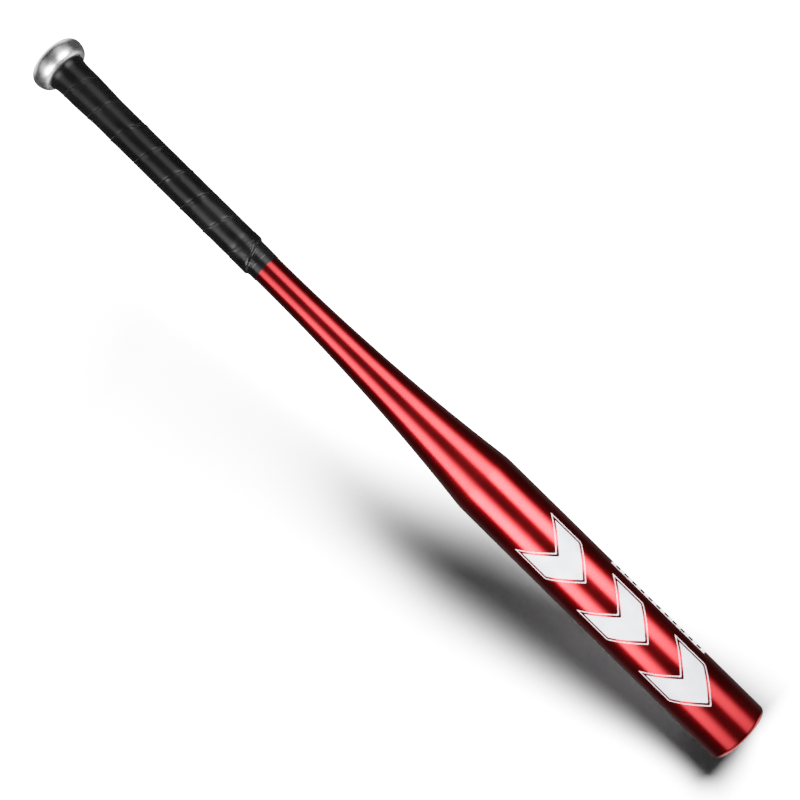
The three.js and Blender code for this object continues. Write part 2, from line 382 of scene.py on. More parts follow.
class Finish:
    """A material whose nodes are made by short calls."""

    def __init__(self, name):
        self.material = bpy.data.materials.new(name)
        self.material.use_nodes = True
        self.tree = self.material.node_tree
        self.shader = self.tree.nodes["Principled BSDF"]
        self.place = self.tree.nodes.new("ShaderNodeTexCoord").outputs["Object"]

    def node(self, kind, settings=None, **inputs):
        made = self.tree.nodes.new(kind)
        for key, value in (settings or {}).items():
            setattr(made, key, value)
        for key, value in inputs.items():
            self.put(made.inputs[key.replace("_", " ")], value)
        return made

    def put(self, socket, value):
        if isinstance(value, bpy.types.NodeSocket):
            self.tree.links.new(value, socket)
        else:
            socket.default_value = value

    def math(self, operation, *values):
        made = self.tree.nodes.new("ShaderNodeMath")
        made.operation = operation
        for socket, value in zip(made.inputs, values):
            self.put(socket, value)
        return made.outputs[0]

    def scaled(self, x, y, z, place=None):
        made = self.tree.nodes.new("ShaderNodeVectorMath")
        made.operation = "MULTIPLY"
        self.put(made.inputs[0], place or self.place)
        made.inputs[1].default_value = (x, y, z)
        return made.outputs[0]

    def noise(self, scale, detail=3.0, rough=0.5, place=None):
        made = self.node("ShaderNodeTexNoise", None, Scale=scale, Detail=detail, Roughness=rough)
        self.put(made.inputs["Vector"], place or self.place)
        return made.outputs["Fac"]

    def cells(self, scale, feature="F1", place=None):
        made = self.node("ShaderNodeTexVoronoi", {"feature": feature}, Scale=scale)
        self.put(made.inputs["Vector"], place or self.place)
        return made.outputs["Distance"]

    def ramp(self, value, low, high, start=0.0, end=1.0, curve="SMOOTHSTEP"):
        made = self.node("ShaderNodeMapRange", {"interpolation_type": curve}, Value=value)
        for key, number in zip(("From Min", "From Max", "To Min", "To Max"), (low, high, start, end)):
            made.inputs[key].default_value = number
        return made.outputs["Result"]

    def mix(self, amount, one, two):
        made = self.node("ShaderNodeMix", {"data_type": "RGBA"})
        self.put(made.inputs["Factor"], amount)
        colours = [s for s in made.inputs if s.type == "RGBA"]
        for socket, value in zip(colours, (one, two)):
            self.put(socket, (*value, 1) if isinstance(value, tuple) else value)
        return next(s for s in made.outputs if s.type == "RGBA")

    def unrolled(self):
        """(x, angle round the axis), for marks that run along or round the bat."""
        parts = self.node("ShaderNodeSeparateXYZ", None, Vector=self.place)
        angle = self.math("ARCTAN2", parts.outputs["Y"], parts.outputs["Z"])
        return parts.outputs["X"], angle

    def bump(self, height, distance, strength=1.0, before=None):
        made = self.node("ShaderNodeBump", None, Height=height, Distance=distance, Strength=strength)
        if before:
            self.put(made.inputs["Normal"], before)
        return made.outputs["Normal"]

    def set(self, **inputs):
        for key, value in inputs.items():
            if isinstance(value, tuple) and len(value) == 3:
                value = (*value, 1)
            self.put(self.shader.inputs[key.replace("_", " ")], value)
        return self.material


# ---------------------------------------------------------------- finishes

def red_anodised():
    f = Finish("red_anodised")
    # Polishing lines run round the tube: fine along it, very long round it.
    lines = f.noise(1.0, 2, 0.6, f.scaled(2600, 6, 6))
    cloud = f.noise(28, 3, 0.5)
    specks = f.cells(700)
    speck = f.ramp(specks, 0.03, 0.10, 1.0, 0.0)
    colour = f.mix(f.ramp(cloud, 0.3, 0.7), (0.68, 0.006, 0.010), (0.80, 0.014, 0.018))
    colour = f.mix(f.math("MULTIPLY", speck, 0.25), colour, (0.35, 0.01, 0.014))
    roughness = f.ramp(lines, 0.25, 0.75, 0.18, 0.23)
    roughness = f.math("ADD", roughness, f.ramp(cloud, 0.35, 0.7, 0.0, 0.03))
    normal = f.bump(lines, 0.000012, 0.5)
    normal = f.bump(f.noise(220, 2, 0.5), 0.00003, 0.35, normal)
    f.set(Coat_Weight=1.0, Coat_Roughness=0.04, Coat_IOR=1.5, Metallic=1.0)
    return f.set(Base_Color=colour, Roughness=roughness, Normal=normal)


def bare_aluminium():
    f = Finish("bare_aluminium")
    rings = f.noise(1.0, 3, 0.6, f.scaled(3200, 14, 14))
    mottle = f.noise(170, 4, 0.6)
    pits = f.ramp(f.cells(900), 0.02, 0.14, 1.0, 0.0)
    pit_mask = f.ramp(f.noise(120, 2, 0.5), 0.52, 0.66)
    pits = f.math("MULTIPLY", pits, pit_mask)
    colour = f.mix(f.ramp(mottle, 0.3, 0.72), (0.78, 0.78, 0.79), (0.93, 0.93, 0.93))
    colour = f.mix(f.math("MULTIPLY", pits, 0.6), colour, (0.25, 0.25, 0.26))
    roughness = f.math("ADD", f.ramp(mottle, 0.3, 0.7, 0.30, 0.38), f.ramp(rings, 0.3, 0.7, 0.0, 0.05))
    height = f.math("ADD", f.math("MULTIPLY", rings, 0.25), mottle)
    height = f.math("SUBTRACT", height, pits)
    normal = f.bump(height, 0.00007, 0.6)
    return f.set(Base_Color=colour, Metallic=1.0, Roughness=roughness, Normal=normal)


def black_grip():
    f = Finish("black_grip")
    grain = f.cells(2100)
    creases = f.noise(420, 4, 0.6)
    smudge = f.noise(46, 3, 0.5)
    colour = f.mix(f.ramp(smudge, 0.3, 0.75), (0.0035, 0.0035, 0.0038), (0.0075, 0.0074, 0.0076))
    colour = f.mix(f.ramp(grain, 0.15, 0.5, 0.35, 0.0), colour, (0.002, 0.002, 0.002))
    roughness = f.math("ADD", f.ramp(smudge, 0.3, 0.7, 0.19, 0.27), f.ramp(grain, 0.1, 0.6, 0.05, 0.0))
    height = f.math("ADD", f.math("MULTIPLY", grain, 0.5), f.math("MULTIPLY", creases, 0.5))
    normal = f.bump(height, 0.00009, 0.5)
    f.set(Specular_IOR_Level=0.5)
    return f.set(Base_Color=colour, Roughness=roughness, Normal=normal)


def black_vinyl():
    f = Finish("black_vinyl")
    stretch = f.noise(1.0, 3, 0.55, f.scaled(160, 620, 620))
    cloud = f.noise(90, 3, 0.5)
    colour = f.mix(f.ramp(cloud, 0.3, 0.7), (0.003, 0.003, 0.003), (0.006, 0.006, 0.006))
    roughness = f.ramp(cloud, 0.3, 0.7, 0.20, 0.29)
    normal = f.bump(stretch, 0.00012, 0.5)
    return f.set(Base_Color=colour, Roughness=roughness, Normal=normal)


def moulded(name, dark, light, rough, scale=900):
    """Moulded rubber or urethane with a fine spark-eroded grain."""
    f = Finish(name)
    grain = f.noise(scale, 3, 0.6)
    cloud = f.noise(60, 3, 0.5)
    colour = f.mix(f.ramp(cloud, 0.3, 0.7), dark, light)
    clouded = f.ramp(cloud, 0.3, 0.7, rough, rough + 0.08)
    roughness = f.math("ADD", clouded, f.ramp(grain, 0.3, 0.7, 0.0, 0.06))
    normal = f.bump(grain, 0.00012, 0.6)
    return f.set(Base_Color=colour, Roughness=roughness, Normal=normal)


def grey_foam():
    f = Finish("grey_foam")
    cells = f.cells(1100)
    colour = f.mix(f.ramp(cells, 0.1, 0.6), (0.10, 0.103, 0.108), (0.20, 0.205, 0.21))
    normal = f.bump(cells, 0.0005, 0.8)
    return f.set(Base_Color=colour, Roughness=f.ramp(cells, 0.1, 0.6, 0.98, 0.86), Normal=normal)


def cloth_tape():
    f = Finish("cloth_tape")
    x, angle = f.unrolled()
    warp = f.math("SINE", f.math("MULTIPLY", x, TURN / (0.7 * MM)))
    weft = f.math("SINE", f.math("MULTIPLY", angle, 110.0))
    weave = f.math("MULTIPLY", warp, weft)
    tint = f.noise(40, 3, 0.5)
    colour = f.mix(f.ramp(weave, -1, 1), (0.56, 0.50, 0.38), (0.76, 0.71, 0.58))
    colour = f.mix(f.ramp(tint, 0.4, 0.8, 0.0, 0.4), colour, (0.50, 0.44, 0.32))
    normal = f.bump(weave, 0.0001, 0.7)
    return f.set(Base_Color=colour, Roughness=f.ramp(weave, -1, 1, 0.95, 0.8), Normal=normal)


def white_ink():
    f = Finish("white_ink")
    edge = f.node("ShaderNodeAttribute", {"attribute_name": "edge"}).outputs["Fac"]
    mesh = f.noise(2400, 2, 0.5)
    cloud = f.noise(70, 3, 0.5)
    colour = f.mix(f.ramp(cloud, 0.3, 0.7), (0.70, 0.71, 0.75), (0.77, 0.78, 0.81))
    thin = f.math("MULTIPLY", f.ramp(edge, 0.5, 1.0), f.ramp(mesh, 0.3, 0.6, 0.35, 0.75))
    colour = f.mix(thin, colour, (0.62, 0.36, 0.38))
    roughness = f.ramp(mesh, 0.3, 0.7, 0.38, 0.5)
    normal = f.bump(mesh, 0.00002, 0.5)
    return f.set(Base_Color=colour, Roughness=roughness, Normal=normal)


RED = red_anodised()
BARE = bare_aluminium()
GRIP = black_grip()
VINYL = black_vinyl()
URETHANE = moulded("black_urethane", (0.014, 0.014, 0.015), (0.026, 0.026, 0.027), 0.46)
RUBBER = moulded("black_rubber", (0.013, 0.013, 0.013), (0.024, 0.024, 0.024), 0.55, 1300)
FOAM = grey_foam()
CLOTH = cloth_tape()
INK = white_ink()


# ---------------------------------------------------------------- tube and knob

def body_line(handle_depth, barrel_depth, steps):
    """Handle, taper, shoulder and barrel at one depth inside the outer surface."""
    handle_r = HANDLE_R - handle_depth
    barrel_r = BARREL_R - barrel_depth
    shoulder_r = SHOULDER_R - barrel_depth
    run = BARREL_START - TAPER_START
    rise = barrel_r - handle_r
    reach = (run * run + rise * rise) / (2 * rise)
    hollow_r = reach - shoulder_r
    slope = math.degrees(math.asin(run / reach))
    taper = arc(TAPER_START, handle_r + hollow_r, hollow_r, hollow_r, -90, slope - 90, steps)
    shoulder = arc(BARREL_START, barrel_r - shoulder_r, shoulder_r, shoulder_r, 90 + slope, 90, steps // 4)
    return taper + shoulder[1:]


def barrel_shell():
    inner_rim = RIM_R - BARREL_WALL
    mouth_x, mouth_r = LENGTH - MOUTH_EDGE_R, MOUTH_R + MOUTH_EDGE_R
    outside = [(TUBE_START, HANDLE_R - BUTT_CHAMFER), (TUBE_START + BUTT_CHAMFER, HANDLE_R)]
    outside += body_line(0, 0, 64)
    outside += arc(LENGTH - RIM_R, BARREL_R - RIM_R, RIM_R, RIM_R, 90, 0, 14)
    outside += arc(mouth_x, mouth_r, MOUTH_EDGE_R, MOUTH_EDGE_R, 0, -90, 5)
    inside = [(TUBE_START, HANDLE_R - HANDLE_WALL)]
    inside += body_line(HANDLE_WALL, BARREL_WALL, 24)
    inside += arc(LENGTH - RIM_R, BARREL_R - RIM_R, inner_rim, inner_rim, 90, 0, 6)
    inside += [(LENGTH - BARREL_WALL, MOUTH_R)]
    mesh = turned("tube", outside + inside[::-1], 256)
    tube = new_piece("tube", mesh, RED, "red_anodised", "barrel_shell")
    tube.visible_diffuse = False    # or it would turn its own shadow red
    return tube


def knob():
    spigot_r = HANDLE_R - HANDLE_WALL - FIT
    hole_r = PLUG_HEAD_R + FIT
    hole_floor = PLUG_HEAD_DEPTH + FIT
    back_x, back_r = KNOB_BACK - KNOB_EDGE_R, KNOB_R - KNOB_BACK_R
    outside = [(HOLE_LIP, hole_r), (FIT, hole_r + FIT), (0, hole_r + HOLE_LIP)]
    outside += arc(KNOB_EDGE_R, KNOB_R - KNOB_EDGE_R, KNOB_EDGE_R, KNOB_EDGE_R, 180, 90, 24)
    outside += arc(KNOB_EDGE_R, KNOB_BACK_R, back_x, back_r, 90, 0, 20)[1:]
    outside += [(KNOB_BACK, HUB_R)]
    outside += arc(HUB_END, HUB_R, HUB_END - KNOB_BACK, HUB_R - HANDLE_R, 180, 270, 10)[1:]
    outside += [(HUB_END, spigot_r), (SPIGOT_END - SPIGOT_CHAMFER, spigot_r)]
    outside += [(SPIGOT_END, spigot_r - SPIGOT_CHAMFER)]
    inside = [
        (hole_floor, hole_r), (hole_floor, HOLE_NECK_R), (HOLE_NECK_END, HOLE_NECK_R),
        (HOLE_NECK_END, HOLE_CORE_R), (SPIGOT_END, HOLE_CORE_R),
    ]
    mesh = turned("knob_casting", outside + inside[::-1], 192)
    return new_piece("knob_casting", mesh, BARE, "bare_aluminium", "knob")


def knob_plug():
    r = PLUG_HEAD_R
    end = far("knob_plug")
    neck_r, neck_end = HOLE_NECK_R - FIT, HOLE_NECK_END + FIT
    ring_depths = (0, PLUG_RING_DEPTH, PLUG_RING_DEPTH, 0)
    profile = [(PLUG_DIMPLE_DEPTH, 0)]
    profile += arc(0, 0, PLUG_DIMPLE_DEPTH, PLUG_DIMPLE_R, 0, 90, 6)[1:]
    profile += list(zip(ring_depths, PLUG_RING_R))
    profile += arc(PLUG_EDGE_R, r - PLUG_EDGE_R, PLUG_EDGE_R, PLUG_EDGE_R, 180, 90, 5)
    profile += [
        (PLUG_HEAD_DEPTH, r), (PLUG_HEAD_DEPTH, neck_r), (neck_end, neck_r),
        (neck_end, PLUG_BARB_R), (end, PLUG_TIP_R), (end, 0),
    ]
    mesh = turned("knob_end_plug", profile, 128)
    return new_piece("knob_end_plug", mesh, RUBBER, "black_rubber", "knob_plug")


def end_cap():
    face_r = MOUTH_R - END_GAP
    flange_r = radius("end_cap")
    body_r = flange_r - END_FLANGE_STEP
    back = near("end_cap")
    rim_back = LENGTH - RIM_R
    step = LENGTH - BARREL_WALL - END_GAP
    groove = LENGTH - END_GROOVE_DEPTH
    dimple = LENGTH - END_DIMPLE_DEPTH
    one, two, three, four = (face_r - inwards for inwards in END_GROOVE_IN)
    profile = [
        (rim_back - END_BODY_DEPTH, 0), (rim_back - END_BODY_DEPTH, body_r), (back, body_r),
        (back, flange_r - END_FLANGE_EDGE), (back + END_FLANGE_EDGE, flange_r),
        (rim_back - END_RIM_GAP, flange_r), (step, BARREL_R - RIM_R - END_GAP), (step, face_r),
        (LENGTH, face_r), (LENGTH, one), (groove, two), (groove, three), (LENGTH, four),
        (LENGTH, END_DIMPLE_R), (dimple, END_DIMPLE_FLAT_R), (dimple, 0),
    ]
    # The outer edge, the groove's four corners and the dimple's two are rounded.
    sizes = {8: 0.6, 9: 0.35, 10: 0.35, 11: 0.35, 12: 0.35, 13: 0.25, 14: 0.25}
    profile = softened(profile, {corner: size * MM for corner, size in sizes.items()})
    mesh = turned("end_plug", profile, 160)
    return new_piece("end_plug", mesh, URETHANE, "black_urethane", "end_cap")


# ---------------------------------------------------------------- grip

def upper_edge(angle):
    """Where the strip's knob-side edge is, at an angle counted on from turn to turn."""
    return EDGE_ON_TOP + PITCH * angle / TURN


def strip_end(angle):
    """Where the strip is cut off at an angle, aslant."""
    return GRIP_END - END_SHORT - END_SLANT * math.sin(angle)


def build_up(x):
    """The grip's mean outer radius: flared over the hub and doubled near the knob."""
    flare = HUB_FLARE * math.exp(-(x - GRIP_START) / HUB_FLARE_RUN)
    swell = SWELL * (1 - smooth((x - SWELL_START) / SWELL_RUN))
    under_vinyl = VINYL_T * smooth((x - VINYL_START + VINYL_BED_RUN) / VINYL_BED_RUN)
    rolled_in = 1 - min((x - GRIP_START) / START_ROLL, 1)
    drop = START_DROP * (1 - math.sqrt(1 - rolled_in ** 2))
    return GRIP_R - UNDER_GRIP_R + flare + swell - under_vinyl - drop


def lumps(angle, x, b):
    """Unevenness of the wound strip: broad lumps, and puckers behind its upper edge."""
    y, z = math.sin(angle), math.cos(angle)
    broad = noise.noise(Vector((x / LUMP_LENGTH, y * 1.1, z * 1.1)))
    ripple = noise.noise(Vector((x / RIPPLE_LENGTH + 40, y * 2.6, z * 2.6)))
    near_edge = math.exp(-((b - RIPPLE_CENTRE) / RIPPLE_SPREAD) ** 2)
    start = 1 + LUMP_START_MORE * math.exp(-(x - GRIP_START) / LUMP_START_RUN)
    return LUMP_H * broad * start + RIPPLE_H * ripple * near_edge


def strip_top(angle, x, b):
    """Radius of the strip's outer face, b behind its upper edge."""
    y, z = math.sin(angle), math.cos(angle)
    pucker = noise.noise(Vector((x / PUCKER_LENGTH + 7, y * 2.2, z * 2.2)))
    raised = EDGE_T * (PUCKER_BASE + PUCKER_GAIN * max(pucker, PUCKER_LEAST))
    lift = raised * (1 - smooth((b - PUCKER_START) / PUCKER_RUN))
    return build_up(x) + lift + lumps(angle, x, min(b, PITCH))


def grip_wrap():
    """One strip wound on from the knob, each turn's upper edge lying on the last turn."""
    width = PITCH + OVERLAP
    first = (GRIP_START - width - EDGE_ON_TOP) / PITCH * TURN
    last = (GRIP_END + END_SLANT - EDGE_ON_TOP) / PITCH * TURN
    count = int((last - first) / TURN * STRIP_SECTIONS)
    points, sections = [], []
    for i in range(count + 1):
        angle = first + (last - first) * i / count
        edge = upper_edge(angle)
        low = max(edge, GRIP_START)
        high = min(edge + width, strip_end(angle))
        if high - low < LEAST_WIDTH:
            continue
        outer, inner = [], []
        for f in STRIP_ACROSS:
            x = low + (high - low) * f
            b = x - edge
            top = strip_top(angle, x, b)
            thick = EDGE_T + (STRIP_T - EDGE_T) * smooth(b / TAPER_IN)
            tuck = (STRIP_T - EDGE_T) * smooth((b - PITCH + TUCK_START) / OVERLAP)
            from_edge = min(x - low, high - x) if edge > GRIP_START else high - x
            lip = math.sqrt(1 - (1 - min(from_edge / LIP_R, 1)) ** 2)
            outer.append((x, top - tuck - thick * (1 - lip) * LIP_SHARE))
            inner.append((x, top - max(thick, tuck + EDGE_T)))
        section = outer + inner[::-1]
        sections.append(range(len(points), len(points) + len(section)))
        s, c = math.sin(angle), math.cos(angle)
        points += [(x, r * s, r * c) for x, r in section]
    faces = []
    for one, two in zip(sections, sections[1:]):
        for k in range(len(one)):
            n = (k + 1) % len(one)
            faces.append((one[k], one[n], two[n], two[k]))
    faces.append(list(sections[0]))
    faces.append(list(sections[-1]))
    mesh = mesh_of("wound_strip", points, faces, 50)
    return new_piece("wound_strip", mesh, GRIP, "black_grip", "grip_wrap")


def vinyl_radius(angle, x):
    """Outer radius of the finishing tape, stretched over the strip's cut end."""
    b = (x - upper_edge(angle)) % PITCH
    over = strip_top(angle, x, b) + VINYL_T + VINYL_FIT
    under = HANDLE_R + VINYL_T + VINYL_FIT
    past = (x - strip_end(angle)) / VINYL_DROP_RUN
    y, z = math.sin(angle), math.cos(angle)
    crease = noise.noise(Vector((x / CREASE_LENGTH, y * 3.4, z * 3.4)))
    slack = math.exp(-((past - 0.3) / 2.2) ** 2)
    layer_end = VINYL_END - SECOND_LAYER_SHORT
    second_layer = SECOND_LAYER_T * (1 - smooth((x - layer_end) / SECOND_LAYER_STEP))
    drop = smooth(past)
    return over * (1 - drop) + under * drop + CREASE_H * abs(crease) * slack + second_layer


def finishing_tape():
    segments, steps = 220, 90
    rows = []
    for i in range(steps + 1):
        x = VINYL_START + (VINYL_END - VINYL_START) * i / steps
        rows.append([(x, vinyl_radius(TURN * k / segments, x)) for k in range(segments)])
    points, faces = [], []
    for inner in (False, True):
        for row in rows:
            for k, (x, r) in enumerate(row):
                a = TURN * k / segments
                r -= (VINYL_T if inner else 0)
                points.append((x, r * math.sin(a), r * math.cos(a)))
    layer = (steps + 1) * segments
    for k in range(segments):
        n = (k + 1) % segments
        for i in range(steps):
            one, two = i * segments, (i + 1) * segments
            faces.append((one + k, one + n, two + n, two + k))
            faces.append((layer + one + k, layer + two + k, layer + two + n, layer + one + n))
        end = steps * segments
        faces.append((k, layer + k, layer + n, n))
        faces.append((end + k, end + n, layer + end + n, layer + end + k))
    mesh = mesh_of("finishing_vinyl", points, faces, 50)
    return new_piece("finishing_vinyl", mesh, VINYL, "black_vinyl", "finishing_tape")


# ---------------------------------------------------------------- prints

def between(loops, p):
    """Whether a point is inside an odd number of the loops."""
    inside = False
    for loop in loops:
        for (ax, ay), (bx, by) in zip(loop, loop[1:] + loop[:1]):
            if (ay > p.y) != (by > p.y) and p.x < ax + (p.y - ay) * (bx - ax) / (by - ay):
                inside = not inside
    return inside


def ink_film(name, loops, turn, *nodes):
    """A film bent round the barrel. Loops of (x, distance round) points: outline, holes."""
    grid = INK_GRID
    flat, edges = [], []
    for loop in loops:
        first = len(flat)
        fine = []
        for p, q in zip(loop, loop[1:] + loop[:1]):
            count = max(1, int(math.dist(p, q) / grid))
            for i in range(count):
                fine.append((p[0] + (q[0] - p[0]) * i / count, p[1] + (q[1] - p[1]) * i / count))
        flat += [Vector(p) for p in fine]
        edges += [(first + i, first + (i + 1) % len(fine)) for i in range(len(fine))]
    border = len(flat)
    xs = [p.x for p in flat]
    ys = [p.y for p in flat]
    for gx in np.arange(min(xs) + grid / 2, max(xs), grid):
        for gy in np.arange(min(ys) + grid / 2, max(ys), grid):
            flat.append(Vector((float(gx), float(gy))))
    verts, _, faces, origins, _, _ = delaunay_2d_cdt(flat, edges, [], 1, 1e-7)
    faces = [f for f in faces if between(loops, sum((verts[i] for i in f), Vector((0, 0))) / 3)]
    rim = [any(o < border for o in origin) for origin in origins]
    count = len(verts)
    points = []
    for height in (INK_HIGH, INK_LOW):
        for v in verts:
            a = turn + v.y / BARREL_R
            r = BARREL_R + height
            points.append((v.x, r * math.sin(a), r * math.cos(a)))
    used = {}
    for f in faces:
        for a, b in zip(f, f[1:] + f[:1]):
            used[(a, b)] = used.get((a, b), 0) + 1
    walls = [(b, a, a + count, b + count) for a, b in used if (b, a) not in used]
    solid = [tuple(f) for f in faces] + [tuple(i + count for i in reversed(f)) for f in faces] + walls
    mesh = bpy.data.meshes.new(name)
    mesh.from_pydata(points, [], solid)
    edge = mesh.attributes.new("edge", "FLOAT", "POINT")
    edge.data.foreach_set("value", [1.0 if e else 0.0 for e in rim] * 2)
    work = bmesh.new()
    work.from_mesh(mesh)
    loose = [v for v in work.verts if not v.link_faces]
    bmesh.ops.delete(work, geom=loose, context="VERTS")
    bmesh.ops.recalc_face_normals(work, faces=work.faces)
    work.to_mesh(mesh)
    work.free()
    mesh.shade_smooth()
    mesh.set_sharp_from_angle(angle=math.radians(40))
    return new_piece(name, mesh, INK, "white_ink", *nodes)


def rounded(corners, size, steps=5):
    """A closed outline with every corner rounded."""
    points = []
    for i, corner in enumerate(corners):
        points += fillet(corners[i - 1], corner, corners[(i + 1) % len(corners)], size, steps)
    return points


def chevron_loop(start, inset, size):
    """A chevron's outline on the unrolled barrel, inset by a distance."""
    half = CHEVRON_REACH * BARREL_R
    slope = CHEVRON_POINT / half
    side = inset * math.hypot(1, slope)
    low, point, end = start, start + CHEVRON_POINT, half - inset
    low += slope * inset
    corners = [
        (low + side, -end), (low + CHEVRON_BAND - side, -end),
        (point + CHEVRON_BAND - side, 0), (low + CHEVRON_BAND - side, end),
        (low + side, end), (point + side, 0),
    ]
    return rounded(corners, size)


def printed_chevrons():
    """Three chevrons, each a fill inside a thin outline."""
    for i in range(CHEVRONS):
        start = CHEVRON_START + i * CHEVRON_PITCH
        outer = chevron_loop(start, 0, OUTLINE_CORNER_R)
        inner = chevron_loop(start, OUTLINE_W, FILL_CORNER_R)
        ink_film(f"chevron_outline_{i + 1}", [outer, inner], 0, f"print_outline_{i + 1}")
        fill = chevron_loop(start, OUTLINE_W + OUTLINE_GAP, FILL_CORNER_R)
        ink_film(f"chevron_fill_{i + 1}", [fill], 0, f"print_chevron_{i + 1}")


def side_mark():
    """A row of slanted dashes that stand on a thin line."""
    foot, head = -MARK_H / 2, MARK_H / 2
    rail = foot + MARK_RAIL_W
    end = MARK_START + (MARK_DASHES - 1) * MARK_PITCH + MARK_DASH_W
    loop = [(MARK_START, foot), (end, foot)]
    for i in reversed(range(MARK_DASHES)):
        x = MARK_START + i * MARK_PITCH
        dash_end = x + MARK_DASH_W
        loop += [(dash_end, rail), (dash_end + MARK_LEAN, head), (x + MARK_LEAN, head), (x, rail)]
    ink_film("side_dashes", [loop], MARK_TURN, "side_mark")


# ---------------------------------------------------------------- stage

def hidden_pieces():
    """CAD pieces inside the bat keep their shape and get their own finish."""
    for node, finish in (("end_cap_damper", FOAM), ("handle_plug", FOAM), ("grip_base_tape", CLOTH)):
        mesh = frame["nodes"][node].data
        mesh.materials.clear()
        mesh.materials.append(finish)


def floor():
    """Pale paper that the barrel lies on, falling away under the handle."""
    xs = [FLOOR_FAR, FALL_START]
    xs += [FALL_START - FALL_BEND * (i + 1) / BEND_STEPS for i in range(BEND_STEPS)]
    xs.append(FLOOR_NEAR)
    points, faces = [], []
    for x in xs:
        past = max(FALL_START - x, 0)
        bend = min(past / FALL_BEND, 1)
        drop = math.tan(FALL) * (past - FALL_BEND / 2 if bend == 1 else past * bend / 2)
        points += [(x, -FLOOR_HALF, FLOOR_Z - drop), (x, FLOOR_HALF, FLOOR_Z - drop)]
    for i in range(len(xs) - 1):
        faces.append((2 * i, 2 * i + 1, 2 * i + 3, 2 * i + 2))
    mesh = bpy.data.meshes.new("floor")
    mesh.from_pydata(points, [], faces)
    mesh.shade_smooth()
    f = Finish("floor_paper")
    fibres = f.noise(900, 3, 0.6)
    f.set(Base_Color=f.mix(f.ramp(fibres, 0.3, 0.7), (0.86, 0.86, 0.86), (0.9, 0.9, 0.9)), Roughness=0.9)
    made = bpy.data.objects.new("floor", mesh)
    mesh.materials.append(f.material)
    bpy.context.scene.collection.objects.link(made)
    made.visible_glossy = False
    made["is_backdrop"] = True
    return made


def flag():
    """Gauze in the bat's plane, thinning out to its edges, that widens the soft shadow."""
    line = [(GRIP_START, HANDLE_R)] + body_line(0, 0, 12)
    for i in range(BEND_STEPS + 1):
        line.append((LENGTH - FLAG_END_RUN * (1 - i / BEND_STEPS), BARREL_R))
    points, cover, faces = [], [], []
    for x, r in line:
        widening = smooth((x - TAPER_START) / TAPER_START)
        wide = FLAG_NARROW + FLAG_WIDEN * widening
        at_end = smooth((x - LENGTH + FLAG_END_RUN) / FLAG_END_RUN)
        raised = widening * (1 - smooth((x - BARREL_START) / FLAG_END_RUN))
        light_side = FLAG_END * at_end + FLAG_SIDE * raised
        shade_side = -FLAG_END_CUT * wide * at_end
        for k in range(-FLAG_ROWS, FLAG_ROWS + 1):
            more = light_side if k > 0 else shade_side
            y = k / FLAG_ROWS * (r + wide + more)
            points.append((x, y, 0))
            thinning = (abs(y) - FLAG_FULL * r) / ((1 - FLAG_FULL) * r + wide + more)
            cover.append(1 - smooth(thinning))
    row = 2 * FLAG_ROWS + 1
    for i in range(len(line) - 1):
        for k in range(row - 1):
            one = i * row + k
            faces.append((one, one + 1, one + row + 1, one + row))
    mesh = bpy.data.meshes.new("flag")
    mesh.from_pydata(points, [], faces)
    mesh.attributes.new("cover", "FLOAT", "POINT").data.foreach_set("value", cover)
    f = Finish("flag_gauze")
    weave = f.noise(900, 3, 0.6)
    thin = f.node("ShaderNodeAttribute", {"attribute_name": "cover"}).outputs["Fac"]
    colour = f.mix(weave, (0.02, 0.02, 0.02), (0.04, 0.04, 0.04))
    mesh.materials.append(f.set(Base_Color=colour, Roughness=0.8, Alpha=thin))
    card = bpy.data.objects.new("flag", mesh)
    bpy.context.scene.collection.objects.link(card)
    card.visible_camera = card.visible_diffuse = card.visible_glossy = False
    card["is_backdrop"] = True
    return card


def only_for(light, name, objects, alone=False):
    """Lets a light fall only on these objects, and be shaded only by them if alone is true."""
    group = bpy.data.collections.new(name)
    for o in objects:
        group.objects.link(o)
    light.light_linking.receiver_collection = group
    if alone:
        light.light_linking.blocker_collection = group


def area_light(name, place, target, size_x, size_y, along):
    """A rectangular light whose long side runs along a direction."""
    data = bpy.data.lights.new(name, "AREA")
    data.shape = "RECTANGLE"
    data.size, data.size_y = size_x, size_y
    light = bpy.data.objects.new(name, data)
    back = (place - target).normalized()
    side = (along - back * along.dot(back)).normalized()
    axes = Matrix((side, back.cross(side), back)).transposed()
    light.matrix_world = Matrix.Translation(place) @ axes.to_4x4()
    bpy.context.scene.collection.objects.link(light)
    light.visible_camera = False
    return light


def key_light():
    """A big soft light from the knob's end and the +Y side, which shades the other side."""
    flat = math.cos(KEY_HEIGHT)
    towards = Vector((-flat * math.cos(KEY_TURN), flat * math.sin(KEY_TURN), math.sin(KEY_HEIGHT)))
    place = KEY_TARGET + towards * KEY_DISTANCE
    light = area_light("key", place, KEY_TARGET, KEY_SIZE, KEY_SIZE, Vector((1, 0, 0)))
    light.data.shape = "DISK"
    light.data.energy = KEY_RADIANCE * math.pi * math.pi / 4 * KEY_SIZE * KEY_SIZE
    return light


def blend_of(tree, value, stops):
    """A smooth grey gradient: (place, level) stops over a value from 0 to 1."""
    ramp = tree.nodes.new("ShaderNodeValToRGB")
    ramp.color_ramp.interpolation = "B_SPLINE"
    tree.links.new(value, ramp.inputs[0])
    elements = ramp.color_ramp.elements
    elements[0].position, elements[-1].position = stops[0][0], stops[-1][0]
    for place, _ in stops[1:-1]:
        elements.new(place)
    for element, (_, level) in zip(elements, stops):
        element.color = (level, level, level, 1)
    return ramp.outputs["Color"]


